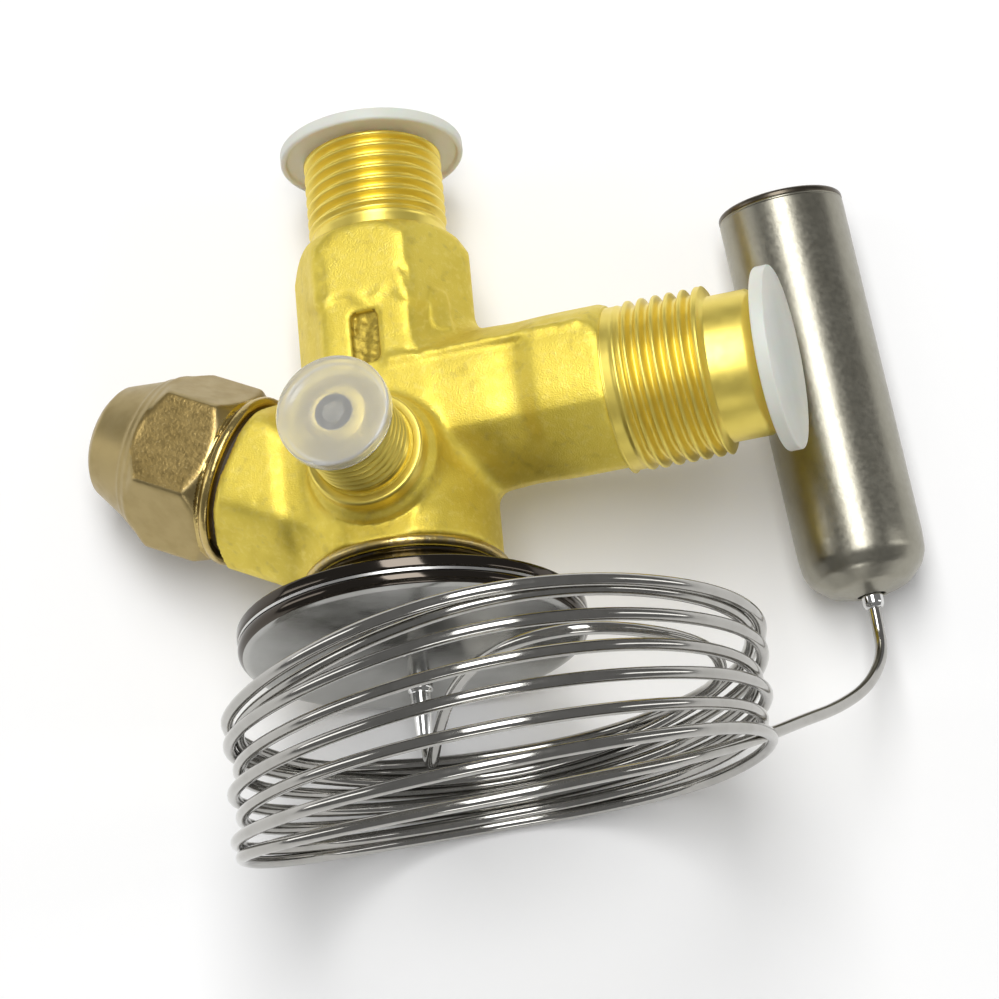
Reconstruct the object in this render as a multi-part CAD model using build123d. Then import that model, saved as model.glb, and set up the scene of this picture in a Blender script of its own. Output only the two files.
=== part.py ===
from build123d import *
import math
import os

# Angle-type thermostatic expansion valve, lying on a table with its transport caps on.
# Everything is drawn in the valve frame (x outlet, y inlet, z equaliser; origin where the
# inlet and outlet axes cross) and then laid down so that it rests on z = 0.

# ---- driving dimensions, mm ----
ROLL = 13.60            # roll about the inlet axis, outlet end raised
INLET_R = 7.9375        # 5/8 in external thread
OUTLET_R = 9.525        # 3/4 in external thread
EQ_R = 5.556            # 7/16 in external thread
NOSE_Y = 35.0           # inlet flare nose
NOSE_X = 44.0           # outlet flare nose
EQ_TOP = 24.0           # equaliser flare nose
EQ_Y = -7.0             # equaliser axis, below the outlet axis
BODY_R = 10.45          # inlet boss, over its rounded corners
FLAT = 9.3              # forged flats, from the axes
ARM_R = 9.7             # outlet arm
NECK_R = 10.9           # neck above the element
NECK_END = -18.2        # lower face of the neck
SPINDLE_TILT = 28.35    # spindle axis above the outlet line, towards the inlet
SPINDLE_Y = -11.8       # where the spindle axis meets the main axis
BOSS_R = 10.2           # spindle boss
BOSS_END = 19.3         # its outer face, along the spindle axis
CAP_AF = 19.0           # seal cap across flats
CAP_PHASE = -33.6       # turn of the seal cap's hexagon
ELEMENT_R = 19.5        # element, outside radius
ELEMENT_FACE = -26.0    # outer face
ELEMENT_BAND = 3.4      # height of the cylindrical side
PLUG_R = 10.55          # transport plug flange
GAP = 0.05              # running clearance on radius
TUBE_D = 1.4            # capillary
BULB_R = 7.25
BULB_L = 47.2
COIL_R = 30.0           # outside radius of the coil
CONE_LIFT = 0.6         # full travel of the valve cone
RING_PITCH = 1.0        # axial move of the spring seat per turn of the crown ring

GAMMA = math.radians(SPINDLE_TILT)
TILT = -math.atan2(ELEMENT_R - PLUG_R, NOSE_Y + 1.0 - ELEMENT_FACE - ELEMENT_BAND)
RHO = math.radians(ROLL)

# ---- axes in the valve frame ----
MAIN = Plane(origin=(0, 0, 0), x_dir=(1, 0, 0), z_dir=(0, 1, 0))
OUT = Plane(origin=(0, 0, 0), x_dir=(0, 1, 0), z_dir=(1, 0, 0))
EQ = Plane(origin=(0, EQ_Y, 0), x_dir=(1, 0, 0), z_dir=(0, 0, 1))
CDIR = Vector(-math.cos(GAMMA), math.sin(GAMMA), 0)
SPIN = Plane(origin=(0, SPINDLE_Y, 0), x_dir=(0, 0, 1), z_dir=CDIR)

# ---- the valve frame in the row frame ----
UP = Vector(math.cos(TILT) * math.sin(RHO), math.sin(TILT), math.cos(TILT) * math.cos(RHO))
YW = (Vector(0, 1, 0) - UP * UP.Y).normalized()
XW = YW.cross(UP)
HEIGHT = -((NOSE_Y + 1.0) * math.sin(TILT) - PLUG_R * math.cos(TILT))
LAY = Plane(origin=(0, 0, HEIGHT), x_dir=(XW.X, YW.X, UP.X), z_dir=(XW.Z, YW.Z, UP.Z))


def world(x, y, z):
    """A point of the valve frame, in the row frame."""
    v = Vector(x, y, z)
    return Vector(v.dot(XW), v.dot(YW), v.dot(UP) + HEIGHT)


def turn(plane, pts):
    """A solid of revolution about the plane's z axis from (radius, height) points."""
    face = Plane.XZ * make_face(Polyline(*pts, close=True))
    return plane * revolve(face, Axis.Z, 360)


def cyl(plane, r, a, b):
    return turn(plane, [(0, a), (r, a), (r, b), (0, b)])


def tube(plane, r, ri, a, b):
    return turn(plane, [(ri, a), (r, a), (r, b), (ri, b)])


def hexagon(plane, af, a, b, phase=0.0):
    body = extrude(RegularPolygon(af / math.sqrt(3), 6, rotation=phase), amount=b - a)
    return plane * Location((0, 0, a)) * body


def coil_spring(plane, radius, wire, a, b, turns):
    """Round wire on a helix, its centreline running from height a to height b."""
    line = Helix(pitch=(b - a) / turns, height=b - a, radius=radius)
    start = Plane(origin=line @ 0, z_dir=line % 0)
    return plane * Location((0, 0, a)) * sweep(start * Circle(wire / 2), path=line, is_frenet=True)


nodes = {}

# ================= body =================
inlet_boss = hexagon(MAIN, 2 * FLAT, -3, 22.7) & turn(MAIN, [(0, -3), (BODY_R, -3), (BODY_R, 20.6), (9.4, 22.3), (8.6, 22.7), (0, 22.7)])
inlet_boss += turn(MAIN, [(0, 15), (INLET_R, 15), (INLET_R, 34.2), (7.0, NOSE_Y), (0, NOSE_Y)])
arm = (OUT * Pos(0.5, 0, 0)) * extrude(RegularPolygon(2 * FLAT / math.sqrt(3), 6), amount=26.6)
arm &= turn(OUT, [(0, 0), (ARM_R + 0.4, 0), (ARM_R + 0.4, 25.6), (ARM_R - 0.4, 26.6), (0, 26.6)])
arm += turn(OUT, [(0, 10), (OUTLET_R, 10), (OUTLET_R, 37.4), (8.25, 37.9), (8.25, 42.3), (6.6, NOSE_X), (0, NOSE_X)])
neck = turn(MAIN, [(0, NECK_END), (9.6, NECK_END), (9.6, -17.0), (NECK_R, -16.6), (NECK_R, -8.5), (9.6, -3), (0, -3)])
boss = hexagon(SPIN, 2 * FLAT, 0, BOSS_END, 30) & turn(SPIN, [(0, 0), (BOSS_R, 0), (BOSS_R, BOSS_END - 0.8), (BOSS_R - 0.8, BOSS_END), (0, BOSS_END)])
boss -= Pos(0, -16.4 - 10, 0) * Box(60, 20, 60)
eq_stub = turn(EQ, [(0, 0), (7.6, 0), (7.6, 10.8), (6.7, 11.6), (6.7, 13.6), (EQ_R, 13.6), (EQ_R, 22.6), (4.9, 22.9), (3.5, EQ_TOP), (0, EQ_TOP)])
body = inlet_boss + arm + neck + boss + eq_stub
# inlet bore, orifice seat, outlet bore, chamber, pin bore
cuts = turn(MAIN, [(0, -1), (3.0, -1), (3.0, 8.2), (5.2, 8.2), (5.2, 32.6), (5.9, 33.3), (5.9, 36), (0, 36)])
cuts += cyl(OUT, 5.3, -2.2, 45)
cuts += turn(MAIN, [(0, -19), (8.6, -19), (8.6, -8.0), (0, -8.0)])
cuts += cyl(MAIN, 1.15, -9, 0)
cuts += cyl(EQ, 2.1, 7.2, 25)
# spindle bore, packing seat and gland thread along the spindle axis
cuts += turn(SPIN, [(0, 2.0), (4.2, 2.0), (4.2, 7.4), (3.9, 7.4), (3.9, 9.4), (2.6, 9.4), (2.6, 11.4), (4.3, 11.4), (4.3, 13.2), (4.9, 13.2), (4.9, 20), (0, 20)])
body -= cuts
nodes["valve_body"] = body

# ================= inlet cartridge =================
nodes["cartridge_seal"] = tube(MAIN, 5.1, 3.9, 8.2, 9.2)
nodes["orifice_cartridge"] = turn(MAIN, [(1.6, 9.2), (5.1, 9.2), (5.1, 19.0), (4.3, 19.0), (4.3, 20.2), (3.6, 20.2), (3.6, 10.9), (2.1, 10.9), (1.6, 10.4)])
nodes["valve_cone"] = turn(MAIN, [(0, 10.05), (1.1, 10.05), (2.1, 11.05), (2.95, 11.9), (2.95, 13.0), (1.2, 13.0), (1.2, 14.8), (0, 14.8)])
nodes["cone_spring"] = coil_spring(MAIN, 2.5, 0.5, 13.3, 18.1, 4.5)
nodes["spring_stop"] = tube(MAIN, 3.6, 1.4, 18.4, 19.4)
strainer = turn(MAIN, [(4.35, 19.0), (5.0, 19.0), (5.0, 33.0), (5.75, 33.7), (5.75, 34.5), (4.7, 34.5), (4.35, 33.6)])
nodes["strainer"] = strainer

# ================= element =================
Y0 = ELEMENT_FACE
YB = ELEMENT_FACE + ELEMENT_BAND
mid = Y0 + 1.7
nodes["element_upper"] = turn(MAIN, [(9.6, -18.0), (10.9, -18.0), (10.9, -18.6), (12.0, -20.2), (18.3, YB), (ELEMENT_R - 0.25, YB), (ELEMENT_R, YB - 0.25), (ELEMENT_R, mid + 0.15), (17.2, mid + 0.15), (15.5, -22.9), (11.2, -21.1), (9.6, -19.4)])
nodes["element_lower"] = turn(MAIN, [(0, Y0), (ELEMENT_R - 0.5, Y0), (ELEMENT_R, Y0 + 0.5), (ELEMENT_R, mid - 0.15), (17.0, mid - 0.15), (15.6, Y0 + 1.0), (0, Y0 + 1.0)])
nodes["diaphragm"] = turn(MAIN, [(0, mid - 0.15), (ELEMENT_R - 0.05, mid - 0.15), (ELEMENT_R - 0.05, mid + 0.15), (0, mid + 0.15)])
nodes["joint_ring"] = tube(MAIN, 11.6, NECK_R, -18.0, -16.9)
nodes["thrust_pad"] = turn(MAIN, [(0, mid + 0.2), (9.2, mid + 0.2), (9.2, -22.9), (7.9, -22.1), (3.0, -22.1), (3.0, -20.9), (1.0, -20.9), (0, -20.9)])
nodes["push_pin"] = cyl(MAIN, 1.1, -20.9, 10.05)

# ================= superheat setting =================
RING_N = 20
PIN_N = 10
ring = turn(MAIN, [(4.2, -12.65), (8.1, -12.65), (8.1, -14.6), (4.2, -14.6)])
crown = turn(MAIN, [(5.4, -12.65), (7.7, -12.65), (7.7, -11.75), (5.4, -11.75)])
for k in range(RING_N):
    slot = extrude(Polygon((0, 0), (12, -1.38), (12, 1.38), align=None), amount=1.6)
    crown -= MAIN * Rot(0, 0, 360 / RING_N * k) * Pos(0, 0, -12.65) * slot
nodes["adjusting_ring"] = ring + crown
nodes["spring_seat"] = turn(MAIN, [(1.5, -11.2), (4.1, -11.2), (4.1, -16.0), (7.6, -16.0), (7.6, -17.2), (1.5, -17.2)])
nodes["superheat_spring"] = coil_spring(MAIN, 6.6, 1.0, -21.55, -17.75, 2.5)
shaft = turn(SPIN, [(0, 4.85), (1.9, 4.85), (2.5, 6.55), (2.0, 6.8), (2.0, 8.6), (3.5, 8.6), (3.5, 9.3), (2.5, 9.3), (2.5, 23.2), (2.1, 23.6), (0, 23.6)])
shaft -= SPIN * Pos(0, 0, 22.6) * Box(6, 0.9, 2.2)
pinion = None
for k in range(PIN_N):
    a, b = 4.85, 6.55
    r1, r2 = a * math.tan(math.radians(30)) + 0.22, b * math.tan(math.radians(30)) + 0.27
    s1 = Plane(origin=(0, 0, a), z_dir=(0, 0, 1)) * Polygon((1.0, -0.62), (r1, -0.2), (r1, 0.2), (1.0, 0.62), align=None)
    s2 = Plane(origin=(0, 0, b), z_dir=(0, 0, 1)) * Polygon((1.0, -0.9), (r2, -0.27), (r2, 0.27), (1.0, 0.9), align=None)
    tooth = SPIN * Rot(0, 0, 360 / PIN_N * k + 90) * loft([s1, s2])
    pinion = tooth if pinion is None else pinion + tooth
nodes["setting_spindle"] = shaft + pinion
nodes["spindle_packing"] = tube(SPIN, 4.3, 2.5 + GAP, 11.4, 13.2)
gland = hexagon(SPIN, 8.2, 15.6, 18.4) + cyl(SPIN, 4.85, 13.2, 15.8)
nodes["gland_nut"] = gland - cyl(SPIN, 2.5 + GAP, 13, 19)

# ================= seal cap =================
cap = hexagon(SPIN, CAP_AF, 21.2, 32.0, CAP_PHASE) & turn(SPIN, [(0, 21.2), (9.4, 21.2), (10.85, 22.8), (10.85, 29.2), (8.9, 31.6), (8.9, 32), (0, 32)])
cap += turn(SPIN, [(0, 30), (9.3, 30.9), (8.9, 31.6), (6.5, 37.4), (5.4, 38.2), (0, 38.4)])
cap += cyl(SPIN, 9.9, 19.8, 21.3)
cap -= cyl(SPIN, 5.6, 18.5, 30.5)
nodes["seal_cap"] = cap
nodes["seal_cap_gasket"] = tube(SPIN, 8.6, 5.7, BOSS_END, 19.8)

# ================= transport plugs and cap =================
inlet_plug = turn(MAIN, [(3.4, 28.8), (4.2, 28.8), (4.2, 35.05), (9.8, 35.05), (9.9, 34.6), (PLUG_R - 0.2, 34.6), (PLUG_R, 34.8), (PLUG_R, 36.0), (0, 36.0), (0, 35.05), (3.4, 35.05)])
nodes["inlet_plug"] = inlet_plug
nodes["outlet_plug"] = turn(OUT, [(4.4, 34.5), (5.2, 34.5), (5.2, NOSE_X + 0.05), (9.6, NOSE_X + 0.05), (9.7, 43.7), (10.25, 43.7), (10.4, 43.9), (10.4, 45.3), (0, 45.3), (0, NOSE_X + 0.05), (4.4, NOSE_X + 0.05)])
nodes["equalizer_cap"] = turn(EQ, [(1.2, 19.0), (2.05, 19.0), (2.05, EQ_TOP + 0.05), (5.65, EQ_TOP + 0.05), (5.7, 23.2), (6.3, 23.2), (6.4, 23.4), (6.4, 24.8), (6.2, 25.0), (0, 25.0), (0, EQ_TOP + 0.05), (1.2, EQ_TOP + 0.05)])

nodes = {k: LAY * v for k, v in nodes.items()}

# ================= capillary, coil and bulb, in the row frame =================
STUB = (-2.7, -10.8)
stub_plane = Plane(origin=(STUB[0], 0, STUB[1]), x_dir=(1, 0, 0), z_dir=(0, -1, 0))
nodes["capillary_stub"] = LAY * turn(stub_plane, [(0, -Y0), (1.5, -Y0), (1.5, -Y0 + 0.8), (1.25, -Y0 + 1.2), (0.95, -Y0 + 6.4), (0, -Y0 + 6.4)])


def pipe(pts, d):
    """A plain tube's solid: straight runs joined by tangent arcs."""
    v = [Vector(*p) for p in pts]
    radii = []
    for i in range(1, len(v) - 1):
        a, b = v[i] - v[i - 1], v[i + 1] - v[i]
        half = math.radians(a.get_angle(b)) / 2
        radii.append(0.45 * min(a.length, b.length) / math.tan(half))
        print("bend", i, "turn", round(math.degrees(2 * half), 1), "radius", round(radii[-1], 2), "runs", round(a.length, 1), round(b.length, 1))
    path = FilletPolyline(*v, radius=radii)
    start = Plane(origin=v[0], z_dir=(v[1] - v[0]).normalized())
    solid = sweep(start * Circle(d / 2), path=path)
    print("tube length", round(path.length, 2), "volume", round(solid.volume, 2), "section x length", round(math.pi * d * d / 4 * path.length, 2))
    return solid


P0 = world(STUB[0], Y0 - 6.4, STUB[1])
lead = [(P0.X, P0.Y, P0.Z), (0.2, -43.2, 14.4), (1.6, -42.4, 27.8), (6.0, -38.0, 38.5), (16.0, -33.5, 45.5), (27.0, -32.0, 42.5), (33.0, -32.2, 32.0), (34.6, -33.6, 19.5), (29.8, -35.8, 9.6)]
nodes["capillary_lead"] = pipe(lead, TUBE_D)
tail = [(33.8, -43.1, 39.5), (38.4, -40.9, 30.2), (42.1, -38.7, 23.6), (46.2, -36.7, 17.4), (50.4, -33.9, 11.6), (52.4, -28.6, 7.25), (51.95, -21.9, 7.25)]

ring_plane = Plane(origin=(8.4, -38.0, COIL_R + 0.02), x_dir=(0.993, 0.12, 0), z_dir=(0.12, -0.993, 0))
coil = Cylinder(COIL_R, 24) - Cylinder(COIL_R - 3.6, 26)
fan = make_face(Polyline((-2.9, 31), (-7.0, 0), (-9.6, -31), (10.6, -31), (9.6, 0), (5.8, 31), close=True))
coil &= extrude(Plane(origin=(0, 0, 0), x_dir=(0, 0, 1), z_dir=(1, 0, 0)) * fan, amount=32, both=True)
nodes["capillary_coil"] = ring_plane * coil

BULB_A = Vector(46.3, 24.8, BULB_R)
BDIR = Vector(0.115, -0.9934, 0).normalized()
bulb_plane = Plane(origin=BULB_A, x_dir=(0, 0, 1), z_dir=BDIR)
nodes["bulb"] = turn(bulb_plane, [(0, 0.9), (BULB_R - 0.9, 0.9), (BULB_R - 0.9, 0), (BULB_R - 0.25, 0), (BULB_R, 0.3), (BULB_R, BULB_L - 5.2), (BULB_R - 0.8, BULB_L - 2.6), (4.6, BULB_L - 0.6), (1.9, BULB_L), (1.6, BULB_L), (1.6, BULB_L - 1.4), (0, BULB_L - 1.4)])
nodes["bulb_neck"] = turn(bulb_plane, [(TUBE_D / 2, BULB_L - 1.4), (1.6, BULB_L - 1.4), (1.6, BULB_L + 1.2), (1.3, BULB_L + 1.5), (TUBE_D / 2, BULB_L + 1.5)])
nodes["bulb_pip"] = turn(bulb_plane, [(0, 0.9), (1.1, 0.9), (1.1, -0.4), (0.7, -1.1), (0, -1.1)])
end = BULB_A + BDIR * (BULB_L - 1.3)
tail[-1] = (end.X, end.Y, end.Z)
pre = BULB_A + BDIR * (BULB_L + 6.4)
tail[-2] = (pre.X, pre.Y, BULB_R)
nodes["capillary_tail"] = pipe(tail, TUBE_D)

# the origin goes to the middle of the base of the valve's own box
CORD = ("capillary_stub", "capillary_lead", "capillary_coil", "capillary_tail", "bulb", "bulb_neck", "bulb_pip")
boxes = [shape.bounding_box() for name, shape in nodes.items() if name not in CORD]
SX = -round((min(b.min.X for b in boxes) + max(b.max.X for b in boxes)) / 2, 2)
SY = -round((min(b.min.Y for b in boxes) + max(b.max.Y for b in boxes)) / 2, 2)
print("SHIFT", SX, SY)
nodes = {name: Pos(SX, SY, 0) * shape for name, shape in nodes.items()}

os.makedirs("parts", exist_ok=True)
for name, shape in nodes.items():
    solids = shape.solids()
    bb = shape.bounding_box()
    print(name, "solids", len(solids), "volume", round(shape.volume, 1), "z", round(bb.min.Z, 3), round(bb.max.Z, 3), "valid", shape.is_valid)
    export_step(solids[0] if len(solids) == 1 else Compound(children=list(solids)), f"parts/{name}.step")
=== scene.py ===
import math
import bpy
import numpy as np
from mathutils import Matrix, Vector


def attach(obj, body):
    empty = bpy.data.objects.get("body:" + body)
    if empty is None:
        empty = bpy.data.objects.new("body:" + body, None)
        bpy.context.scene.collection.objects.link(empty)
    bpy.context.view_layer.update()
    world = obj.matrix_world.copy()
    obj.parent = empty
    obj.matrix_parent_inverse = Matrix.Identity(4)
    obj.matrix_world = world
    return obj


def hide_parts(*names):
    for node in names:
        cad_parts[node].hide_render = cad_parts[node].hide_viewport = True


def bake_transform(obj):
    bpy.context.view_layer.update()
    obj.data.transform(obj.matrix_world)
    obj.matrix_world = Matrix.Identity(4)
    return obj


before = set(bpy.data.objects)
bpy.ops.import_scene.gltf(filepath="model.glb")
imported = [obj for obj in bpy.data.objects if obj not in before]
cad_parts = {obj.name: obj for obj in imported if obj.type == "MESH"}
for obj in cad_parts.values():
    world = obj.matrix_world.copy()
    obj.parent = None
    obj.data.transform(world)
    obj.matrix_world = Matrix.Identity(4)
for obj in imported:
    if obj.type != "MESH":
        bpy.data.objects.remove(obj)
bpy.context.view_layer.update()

# ---------------------------------------------------------------- the valve frame
# x outlet, y inlet, z equaliser, in millimetres; the row frame is W . v + O
W = np.array([[0.971961, 0.0, -0.2351421],
              [0.0355017, 0.9885369, 0.1467463],
              [0.2324467, -0.1509796, 0.9608193]])
O = np.array([-5.5, -4.3, 15.86433])
GAMMA = math.radians(28.35)
SDIR = np.array([-math.cos(GAMMA), math.sin(GAMMA), 0.0])
SORG = np.array([0.0, -11.8, 0.0])
FLAT = 9.3


def to_row(v):
    return (np.asarray(v, float) @ W.T + O) * 0.001


def basis(axis, xdir):
    axis = np.array(axis, float) / np.linalg.norm(axis)
    u = np.array(xdir, float) - axis * np.dot(xdir, axis)
    u /= np.linalg.norm(u)
    return axis, u, np.cross(axis, u)


MAIN = ((0, 0, 0), (0, 1, 0), (1, 0, 0))
OUT = ((0, 0, 0), (1, 0, 0), (0, 1, 0))
EQ = ((0, -7.0, 0), (0, 0, 1), (1, 0, 0))
SPIN = (tuple(SORG), tuple(SDIR), (0, 0, 1))
STUB = ((-2.7, 0, -10.8), (0, -1, 0), (1, 0, 0))
BDIR = np.array([0.115, -0.9934, 0.0]) / math.hypot(0.115, 0.9934)
BULB = ((40.8, 20.5, 7.25), tuple(BDIR), (0, 0, 1))


# ---------------------------------------------------------------- meshes
def make(name, verts_m, faces, smooth=True):
    me = bpy.data.meshes.new(name)
    me.from_pydata([tuple(v) for v in np.asarray(verts_m).tolist()], [], [tuple(f) for f in faces])
    me.update()
    if smooth:
        me.polygons.foreach_set("use_smooth", [True] * len(me.polygons))
    ob = bpy.data.objects.new(name, me)
    bpy.context.scene.collection.objects.link(ob)
    return ob


def soft_corners(pts, r, n=4):
    """A closed outline of (radius, height) with its corners eased by r."""
    out = []
    m = len(pts)
    for i in range(m):
        p = np.array(pts[i], float)
        a = np.array(pts[i - 1], float) - p
        b = np.array(pts[(i + 1) % m], float) - p
        la, lb = np.linalg.norm(a), np.linalg.norm(b)
        if p[0] < 1e-6 or la < 1e-9 or lb < 1e-9:
            out.append(tuple(p))
            continue
        k = min(r, 0.45 * la, 0.45 * lb)
        s, e = p + a / la * k, p + b / lb * k
        for t in np.linspace(0, 1, n):
            q = (1 - t) ** 2 * s + 2 * t * (1 - t) * p + t * t * e
            out.append((float(q[0]), float(q[1])))
    return out


def lathe(name, plane, pts, ease=0.12, n=112, row=False, steps=4):
    """A closed outline turned about a plane's axis. row: the plane is already in the row frame."""
    pts = soft_corners(pts, ease, steps) if ease else pts
    o = np.array(plane[0], float)
    axis, u, v = basis(plane[1], plane[2])
    th = np.linspace(0, 2 * math.pi, n, endpoint=False)
    verts, rings = [], []
    for r, h in pts:
        if r < 1e-6:
            rings.append([len(verts)] * n)
            verts.append(o + axis * h)
        else:
            base = len(verts)
            for t in th:
                verts.append(o + axis * h + r * (math.cos(t) * u + math.sin(t) * v))
            rings.append(list(range(base, base + n)))
    faces = []
    m = len(rings)
    area = sum(pts[i][0] * pts[(i + 1) % m][1] - pts[(i + 1) % m][0] * pts[i][1] for i in range(m))
    for i in range(m):
        a, b = rings[i], rings[(i + 1) % m]
        if a[0] == a[-1] and b[0] == b[-1]:
            continue
        for j in range(n):
            k = (j + 1) % n
            f = [a[j], a[k], b[k], b[j]]
            g = []
            for w in f:
                if w not in g:
                    g.append(w)
            if area < 0:
                g.reverse()
            faces.append(g)
    verts = np.array(verts)
    return make(name, verts * 0.001 if row else to_row(verts), faces)


def threaded(name, plane, major, depth, pitch, a, b, clear, tail, bore, phase, n=120, per=13, crest=0.16):
    """A turned end with a helical thread from height a to b; clear is the plain length kept at a, and
    tail the (radius, height) outline from b to the face, closed by the bore."""
    o = np.array(plane[0], float)
    axis, u, v = basis(plane[1], plane[2])
    th = np.linspace(0, 2 * math.pi, n, endpoint=False)
    hs = np.linspace(a, b, int((b - a) / pitch * per) + 1)
    H, T = np.meshgrid(hs, th, indexing="ij")
    w = ((H / pitch - T / (2 * math.pi) - phase) % 1.0)
    w = np.abs(2 * w - 1)                      # 1 at a crest, 0 at a root
    prof = np.clip((1 - w - crest) / (1 - 2 * crest), 0, 1)
    prof = prof * prof * (3 - 2 * prof) * 0.45 + prof * 0.55
    run = np.clip((H - a - clear) / pitch, 0, 1) * np.clip((b - H) / (0.35 * pitch), 0, 1)
    low = np.clip((H - a) / max(clear, 1e-6), 0, 1)
    R = major - depth * prof * run - 0.35 * depth * (1 - np.clip((H - a - clear) / (0.6 * pitch), 0, 1)) * (low > 0)
    rows = [R[i] for i in range(len(hs))]
    heights = list(hs)
    for r, h in tail:
        rows.append(np.full(n, r))
        heights.append(h)
    for r, h in ((bore, tail[-1][1]), (bore, a)):
        rows.append(np.full(n, r))
        heights.append(h)
    verts = np.concatenate([o + axis * h + r[:, None] * (np.cos(th)[:, None] * u + np.sin(th)[:, None] * v)
                            for r, h in zip(rows, heights)])
    faces = []
    m = len(rows)
    for i in range(m):
        for j in range(n):
            k = (j + 1) % n
            i2 = (i + 1) % m
            faces.append((i * n + j, i * n + k, i2 * n + k, i2 * n + j))
    return make(name, to_row(verts), faces)


def wound(name, radius, wire, a, b, turns, n=12, per=40):
    """Round wire wound about the main axis, its centreline running from height a to height b."""
    axis, u, v = basis(MAIN[1], MAIN[2])
    m = int(turns * per) + 1
    verts = []
    for i in range(m):
        t = 2 * math.pi * turns * i / (m - 1)
        out = math.cos(t) * u + math.sin(t) * v
        c = axis * (a + (b - a) * i / (m - 1)) + radius * out
        for j in range(n):
            w = 2 * math.pi * j / n
            verts.append(c + wire / 2 * (math.cos(w) * out + math.sin(w) * axis))
    faces = [(i * n + j, i * n + (j + 1) % n, (i + 1) * n + (j + 1) % n, (i + 1) * n + j) for i in range(m - 1) for j in range(n)]
    faces += [tuple(range(n))[::-1], tuple(range((m - 1) * n, m * n))]
    return make(name, to_row(verts), faces)


# ---------------------------------------------------------------- distance fields
def sd_poly(x, y, pts):
    """Signed distance to a closed polygon, inside negative."""
    pts = np.array(pts, float)
    m = len(pts)
    d = np.full(x.shape, 1e9, np.float32)
    s = np.ones(x.shape, np.float32)
    for i in range(m):
        vi, vj = pts[i], pts[i - 1]
        ex, ey = vj - vi
        wx, wy = x - vi[0], y - vi[1]
        t = np.clip((wx * ex + wy * ey) / (ex * ex + ey * ey), 0, 1)
        d = np.minimum(d, (wx - ex * t) ** 2 + (wy - ey * t) ** 2)
        c1, c2, c3 = y >= vi[1], y < vj[1], ex * wy > ey * wx
        flip = (c1 & c2 & c3) | (~c1 & ~c2 & ~c3)
        s = np.where(flip, -s, s)
    return s * np.sqrt(d)


def sd_hex(x, y, flat, phase, ease):
    """A hexagon with that distance to its flats, one flat's normal at phase degrees, corners eased."""
    r = (flat - ease) / math.cos(math.pi / 6)
    pts = [(r * math.cos(math.radians(phase + 30 + 60 * k)), r * math.sin(math.radians(phase + 30 + 60 * k))) for k in range(6)]
    return sd_poly(x, y, pts) - ease


def smin(a, b, k):
    h = np.clip(0.5 + 0.5 * (b - a) / k, 0, 1)
    return b + (a - b) * h - k * h * (1 - h)


def smax(a, b, k):
    return -smin(-a, -b, k)


def step(e0, e1, x):
    t = np.clip((x - e0) / (e1 - e0), 0, 1)
    return t * t * (3 - 2 * t)


def nets(f, lo, h):
    """The zero surface of a field as quads, one vertex in each crossed cell."""
    f = np.where(np.abs(f) < 1e-5, 1e-5, f).astype(np.float64)
    nx, ny, nz = f.shape
    cnt = np.zeros((nx - 1, ny - 1, nz - 1))
    acc = np.zeros((nx - 1, ny - 1, nz - 1, 3))
    corners = [(i, j, k) for i in (0, 1) for j in (0, 1) for k in (0, 1)]

    def part(c):
        return f[c[0]:nx - 1 + c[0], c[1]:ny - 1 + c[1], c[2]:nz - 1 + c[2]]
    for c in corners:
        for ax in range(3):
            if c[ax]:
                continue
            e = list(c)
            e[ax] = 1
            fa, fb = part(c), part(e)
            hit = (fa < 0) != (fb < 0)
            t = np.where(hit, fa / np.where(hit, fa - fb, 1), 0)
            cnt += hit
            for q in range(3):
                acc[..., q] += np.where(hit, c[q] + (t if q == ax else 0), 0)
    active = cnt > 0
    index = np.full(active.shape, -1, np.int64)
    index[active] = np.arange(active.sum())
    ijk = np.argwhere(active)
    verts = np.array(lo) + (ijk + acc[active] / cnt[active][:, None]) * h
    quads = []
    for ax in range(3):
        b, c = (ax + 1) % 3, (ax + 2) % 3
        sl0 = [slice(None)] * 3
        sl1 = [slice(None)] * 3
        sl0[ax] = slice(0, -1)
        sl1[ax] = slice(1, None)
        for q in (b, c):
            sl0[q] = slice(1, -1)
            sl1[q] = slice(1, -1)
        fa, fb = f[tuple(sl0)], f[tuple(sl1)]
        at = np.argwhere((fa < 0) != (fb < 0))
        sign = fa[tuple(at.T)] < 0
        at[:, b] += 1
        at[:, c] += 1

        def cell(db, dc):
            p = at.copy()
            p[:, b] += db
            p[:, c] += dc
            return index[tuple(p.T)]
        q4 = np.stack([cell(-1, -1), cell(0, -1), cell(0, 0), cell(-1, 0)], 1)
        q4[~sign] = q4[~sign][:, ::-1]
        quads.append(q4)
    return verts, np.concatenate(quads)


def grid(lo, hi, h):
    axes = [np.arange(lo[i], hi[i] + h, h, dtype=np.float32) for i in range(3)]
    return np.meshgrid(*axes, indexing="ij")


def about(plane, X, Y, Z):
    """(u, v, height, radius) of grid points about a plane's axis."""
    o = plane[0]
    axis, u, v = basis(plane[1], plane[2])
    dx, dy, dz = X - o[0], Y - o[1], Z - o[2]
    a = dx * u[0] + dy * u[1] + dz * u[2]
    b = dx * v[0] + dy * v[1] + dz * v[2]
    h = dx * axis[0] + dy * axis[1] + dz * axis[2]
    return a, b, h, np.sqrt(a * a + b * b)


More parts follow.
